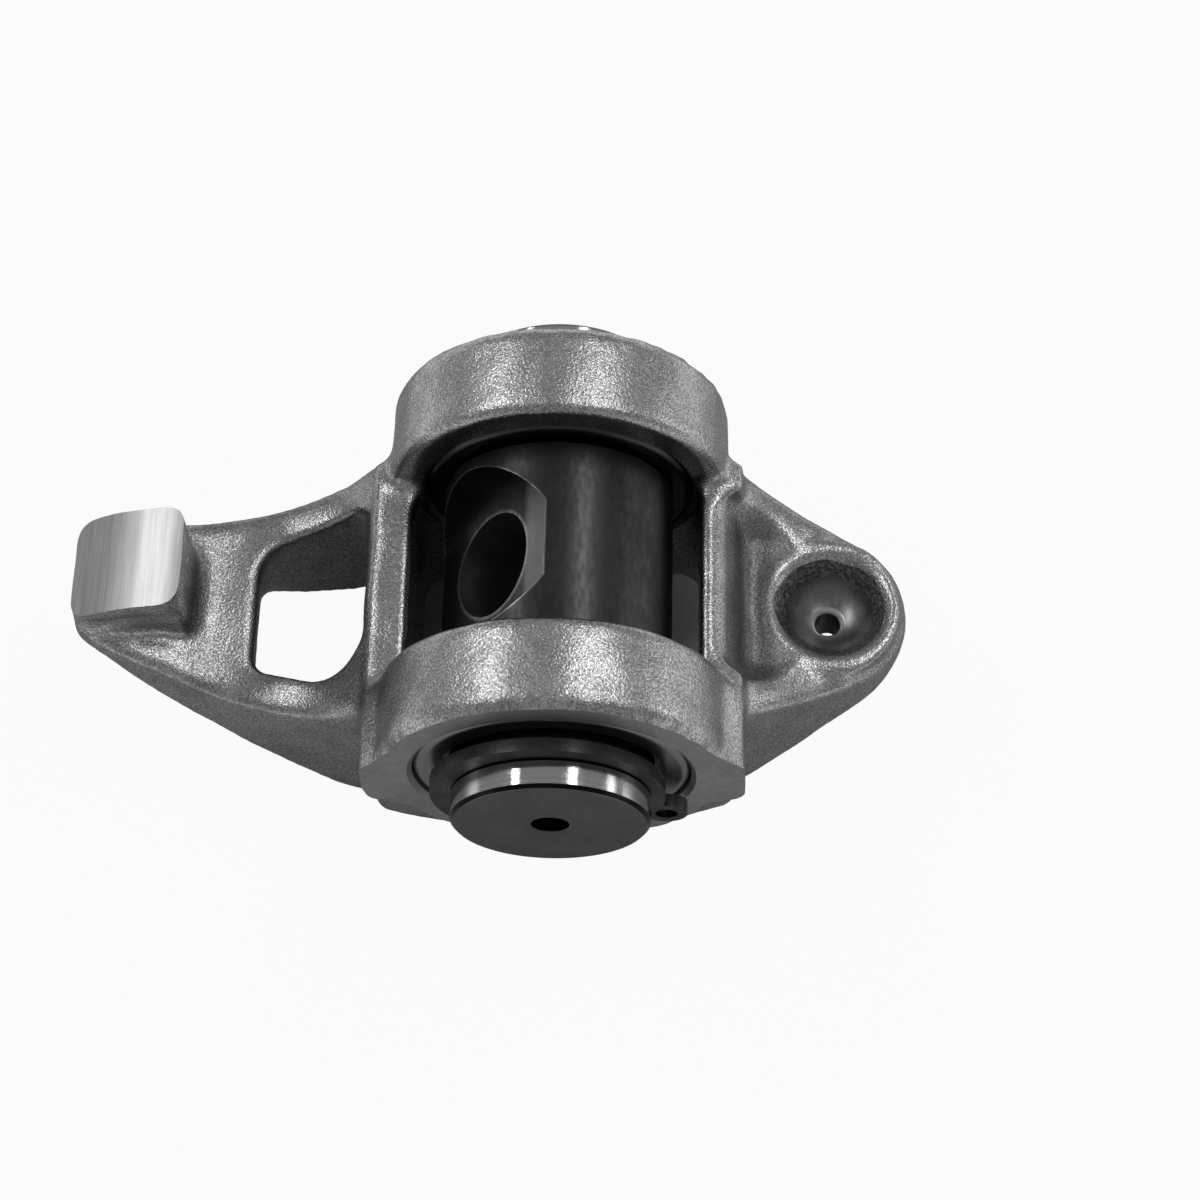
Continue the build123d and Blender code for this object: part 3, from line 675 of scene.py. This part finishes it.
CREASE_ANGLE = math.radians(34)            # faces that meet at more than this keep a sharp edge
arm.data.shade_smooth()
arm.data.set_sharp_from_angle(angle=CREASE_ANGLE)
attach(arm, "arm")
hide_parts("rocker_arm")


# ---- Trunnion ----
# A turned steel pivot, blackened all over. Its ends outside the circlips are ground bright after that,
# and the edges of the counterbore for the screw have worn to bare steel. One side of the screw's seat
# and the wall of the screw hole are painted lighter grey, a painted light.
SCREW_TURN = math.radians(51)
BARREL_RADIUS = 8.95                       # in mm, as the plain sizes below are
BARREL_SKIN = (BARREL_RADIUS - 0.1, BARREL_RADIUS - 0.05)
SEAT_RADIUS = 7.1
SEAT_EDGE = (SEAT_RADIUS, SEAT_RADIUS + 0.1)
SEAT_HEIGHT = 6.25
SEAT_LEVEL = (SEAT_HEIGHT - 0.1, SEAT_HEIGHT)
HOLE_RADIUS = 4.2
HOLE_WALL = (HOLE_RADIUS + 0.02, HOLE_RADIUS + 0.06)
GROUND_ENDS = (17.42, 17.46)               # from the circlip's groove outward
END_Y = 19.5
END_BEVEL = (END_Y - 0.32, END_Y - 0.28)
END_FACE = (END_Y - 0.03, END_Y - 0.01)
TURNED_GROOVES = {"Size mm": 0.07}
PATCHES = {"Along Y": 0.35, "Size mm": 0.4}
RIM_WEAR = 0.13                            # width of the worn rims to either side
SEAT_WEAR = (0.1, 0.6)                     # width and strength of the wear round the seat
HOLE_LIP = (HOLE_RADIUS + 0.12, 0.22)
HOLE_LIP_RISE = (5.6, 6.0)
HOLE_LIP_WEAR = 0.7
WEAR_PATCHES = (0.38, 0.6, 0.25, 1.0)
SEAT_LIGHT_SIDE = (3.6, 4.6)                   # the side of the seat that is painted lighter, a painted light
SEAT_LIGHT_SHARE = 0.55
OXIDE_TONES = (0.35, 0.65, 0.04, 0.07)
SEAT_AND_HOLE_LIGHT_GREY = 0.3
BARE_GREY = 0.4
GROUND_TONES = (0.3, 0.7, 0.42, 0.62)
BEVEL_GREY = 0.012
END_TONES = (0.3, 0.7, 0.13, 0.19)
OXIDE_SATIN = (0.35, 0.65, 0.42, 0.32)
GROUND_SATIN = (0.4, 0.6, 0.08, 0.18)
END_ROUGHNESS = 0.4
TRUNNION_RELIEF = (0.5, 0.008 * MM)


pivot_steel, tree, surface = steel("black_oxide_steel")
turned = use(tree, "turned_lines", TURNED_GROOVES)
patches = use(tree, "fine_lines", PATCHES)
place = place_of(tree)
screw_line = (-math.sin(SCREW_TURN), 0.0, math.cos(SCREW_TURN))
across_line = (math.cos(SCREW_TURN), 0, math.sin(SCREW_TURN))
rise = product(tree, vector(tree, "DOT_PRODUCT", place, screw_line), 1 / MM)
reach = product(tree, vector(tree, "LENGTH", vector(tree, "CROSS_PRODUCT", place, screw_line)), 1 / MM)
on_seat = product(tree, near(tree, rise, SEAT_HEIGHT, SEAT_WEAR[0]), fade(tree, reach, *SEAT_EDGE))
round_rim = product(tree, near(tree, reach, SEAT_RADIUS, RIM_WEAR), ramp(tree, rise, *SEAT_LEVEL))
rim = product(tree, number(tree, "MAXIMUM", round_rim, product(tree, on_seat, SEAT_WEAR[1])),
              ramp(tree, turned["Radius mm"], *BARREL_SKIN))
lip = product(tree, near(tree, reach, *HOLE_LIP), ramp(tree, rise, *HOLE_LIP_RISE), HOLE_LIP_WEAR)
bare = product(tree, number(tree, "MAXIMUM", rim, lip), ramp(tree, patches["Tone"], *WEAR_PATCHES))
aside = product(tree, vector(tree, "DOT_PRODUCT", place, across_line), 1 / MM)
# Painted light: one side of the screw's seat is painted lighter.
rub_wear_and_seat_light = product(tree, ramp(tree, aside, *SEAT_LIGHT_SIDE), on_seat, SEAT_LIGHT_SHARE)
# Painted light: the wall of the screw hole is painted lighter grey.
hole_wall_light = fade(tree, reach, *HOLE_WALL)
ends = ramp(tree, turned["Along mm"], *GROUND_ENDS)
end_face = ramp(tree, turned["Along mm"], *END_FACE)
bevel = product(tree, ramp(tree, turned["Along mm"], *END_BEVEL), remainder(tree, end_face))
tone = blend(tree, number(tree, "MAXIMUM", rub_wear_and_seat_light, hole_wall_light), ramp(tree, patches["Tone"], *OXIDE_TONES),
             SEAT_AND_HOLE_LIGHT_GREY)
tone = blend(tree, bare, tone, BARE_GREY)
tone = blend(tree, ends, tone, ramp(tree, turned["Height"], *GROUND_TONES))
tone = blend(tree, bevel, tone, BEVEL_GREY)
tone = blend(tree, end_face, tone, ramp(tree, patches["Tone"], *END_TONES))
satin = blend(tree, ends, ramp(tree, patches["Tone"], *OXIDE_SATIN),
              ramp(tree, patches["Tone"], *GROUND_SATIN))
satin = blend(tree, end_face, satin, END_ROUGHNESS)
feed(tree, surface, {"Base Color": grey(tree, tone), "Roughness": satin,
                     "Normal": relief(tree, turned["Height"], *TRUNNION_RELIEF)})


def dress(name, material):
    """Gives a node of the frame its finish."""
    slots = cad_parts[name].data.materials
    slots.clear()
    slots.append(material)


dress("trunnion", pivot_steel)


# ---- Bearings ----
# Drawn steel cups pressed into the bosses, and cages that carry the ground needle rollers. Cups and
# cages show bright steel at the machined faces and are painted dark towards the window, a painted shade.
BEARING_GROOVES = {"Size mm": 0.06}
WINDOW_SIDE_SHADE_Y = (11.0, 14.0)                     # in mm
WINDOW_SIDE_SHADE_GREY = 0.06
BEARING_TONES = (0.3, 0.7, 0.3, 0.44)
BEARING_ROUGHNESS = 0.3
BEARING_RELIEF = (0.4, 0.006 * MM)
NEEDLE_LINES = {"Along Y": 0.05, "Size mm": 0.05}
NEEDLE_TONES = (0.3, 0.7, 0.6, 0.72)
NEEDLE_SATIN = (0.3, 0.7, 0.12, 0.2)

bearing_steel, tree, surface = steel("bearing_steel")
turned = use(tree, "turned_lines", BEARING_GROOVES)
# Painted shade: darker towards the window.
tone = blend(tree, ramp(tree, turned["Along mm"], *WINDOW_SIDE_SHADE_Y), WINDOW_SIDE_SHADE_GREY,
             ramp(tree, turned["Height"], *BEARING_TONES))
feed(tree, surface, {"Base Color": grey(tree, tone), "Roughness": BEARING_ROUGHNESS,
                     "Normal": relief(tree, turned["Height"], *BEARING_RELIEF)})

needle_steel, tree, surface = steel("needle_steel")
ground = use(tree, "fine_lines", NEEDLE_LINES)
feed(tree, surface, {"Base Color": grey(tree, ramp(tree, ground["Tone"], *NEEDLE_TONES)),
                     "Roughness": ramp(tree, ground["Tone"], *NEEDLE_SATIN)})

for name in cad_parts:
    if name.startswith(("bearing_cup", "needle_cage")):
        dress(name, bearing_steel)
    elif name.startswith("needle"):
        dress(name, needle_steel)


# ---- Circlips ----
# Two rings stamped from spring steel and blackened, with shinier patches where they were rubbed.
# They are sprung into grooves near the ends of the trunnion and keep it between the bosses.
CLIP_PATCHES = {"Size mm": 0.25}
CLIP_TONES = (0.35, 0.65, 0.05, 0.09)
CLIP_SATIN = (0.35, 0.65, 0.4, 0.26)
CLIP_RELIEF = (0.3, 0.01 * MM)

spring_steel, tree, surface = steel("spring_steel")
rub_wear_and_seat_light = use(tree, "fine_lines", CLIP_PATCHES)
feed(tree, surface, {"Base Color": grey(tree, ramp(tree, rub_wear_and_seat_light["Tone"], *CLIP_TONES)),
                     "Roughness": ramp(tree, rub_wear_and_seat_light["Tone"], *CLIP_SATIN),
                     "Normal": relief(tree, rub_wear_and_seat_light["Height"], *CLIP_RELIEF)})
for name in ("circlip_near", "circlip_far"):
    dress(name, spring_steel)


# ---- Stage, light and camera ----
# A plain floor that is seen white, but stays grey in the window's shade and in near reflections.
# Two soft strips light the arm from above and one from beyond its pushrod cup. The camera looks
# steeply down on its near side.
FLOOR_CORNERS = [(-3, -3), (3, -3), (3, 3), (-3, 3)]
FLOOR_GREY = (0.5, 0.5, 0.5, 1)
FLOOR_WHITE = 0.95                         # share of plain white in what is seen of the floor
SHADE_EDGE_X = (14.0 * MM, 16.0 * MM)      # the shade under the window, to either side of its middle
SHADE_MIDDLE_Y = 4.0 * MM
SHADE_EDGE_Y = (8.0 * MM, 12.0 * MM)
MIRRORED_FROM = (50.0 * MM, 110.0 * MM)    # metal mirrors the white floor from this distance on
WORLD_STRENGTH = 0.31

floor_z = cad_low[2]
floor = mesh_from("floor", np.array([(x, y, floor_z) for x, y in FLOOR_CORNERS]), [(0, 1, 2, 3)])
floor_paint = bpy.data.materials.new("floor_paint")
floor_paint.use_nodes = True
tree = floor_paint.node_tree
tree.nodes.clear()
place = place_of(tree)
under = parts_of(tree, place)
from_middle = number(tree, "ABSOLUTE", number(tree, "SUBTRACT", under[1], SHADE_MIDDLE_Y))
shade = product(tree, fade(tree, number(tree, "ABSOLUTE", under[0]), *SHADE_EDGE_X),
                fade(tree, from_middle, *SHADE_EDGE_Y))
ray = node(tree, "LightPath").outputs
mirrored = product(tree, ray["Is Glossy Ray"], ramp(tree, vector(tree, "LENGTH", place), *MIRRORED_FROM))
seen = number(tree, "MAXIMUM", ray["Is Camera Ray"], mirrored)
share = product(tree, seen, product(tree, remainder(tree, shade), FLOOR_WHITE))
plain = node(tree, "BsdfDiffuse", {"Color": FLOOR_GREY}).outputs[0]
white = node(tree, "Emission", {"Strength": 1.0}).outputs[0]
mixed = node(tree, "MixShader", {0: share, 1: plain, 2: white}).outputs[0]
feed(tree, node(tree, "OutputMaterial"), {0: mixed})
floor.data.materials.append(floor_paint)

world = bpy.data.worlds.new("studio")
bpy.context.scene.world = world
world.use_nodes = True
feed(world.node_tree, world.node_tree.nodes["Background"],
     {"Color": (1, 1, 1, 1), "Strength": WORLD_STRENGTH})


def posed_at(place, right, up, back):
    """Where a lamp or camera stands and how it is turned: its right, its up and its back."""
    posed = Matrix((right, up, back)).transposed().to_4x4()
    posed.translation = place
    return posed


def soft_light(name, place, size, power):
    """A strip of soft light that faces the origin, with its long side along Y."""
    lamp = bpy.data.lights.new(name, "AREA")
    lamp.shape = "RECTANGLE"
    lamp.size, lamp.size_y = size
    lamp.energy = power
    holder = bpy.data.objects.new(name, lamp)
    outward = Vector(place).normalized()
    across = Vector((0, 1, 0)).cross(outward).normalized()
    holder.matrix_world = posed_at(place, across, outward.cross(across), outward)
    bpy.context.scene.collection.objects.link(holder)


soft_light("light_left", place=(-0.335, 0.12, 0.4), size=(0.04, 0.36), power=0.52)
soft_light("light_right", place=(0.21, 0.12, 0.44), size=(0.05, 0.36), power=0.45)
soft_light("light_side", place=(0.45, 0.1, 0.14), size=(0.08, 0.2), power=0.12)

CAMERA_TURN = math.radians(0.628)
CAMERA_RISE = math.radians(64.229)
CAMERA_ROLL = math.radians(0.492)
CAMERA_DISTANCE = 208.97 * MM
AIM_RIGHT = 3.343 * MM
AIM_UP = -0.878 * MM
FOCAL_PIXELS = 2699.06
FRAME_PIXELS = 1200
SENSOR_WIDTH = 36
back = Vector((math.sin(CAMERA_TURN) * math.cos(CAMERA_RISE),
               -math.cos(CAMERA_TURN) * math.cos(CAMERA_RISE), math.sin(CAMERA_RISE)))
level = Vector((0, 0, 1)).cross(back).normalized()
upright = back.cross(level)
right = math.cos(CAMERA_ROLL) * level + math.sin(CAMERA_ROLL) * upright
up = math.cos(CAMERA_ROLL) * upright - math.sin(CAMERA_ROLL) * level
lens = bpy.data.cameras.new("camera")
lens.sensor_width = SENSOR_WIDTH
lens.lens = FOCAL_PIXELS / FRAME_PIXELS * SENSOR_WIDTH
camera = bpy.data.objects.new("camera", lens)
stand = AIM_RIGHT * right + AIM_UP * up + CAMERA_DISTANCE * back
camera.matrix_world = posed_at(stand, right, up, back)
bpy.context.scene.collection.objects.link(camera)
bpy.context.scene.camera = camera
bpy.context.scene.view_settings.view_transform = "Standard"
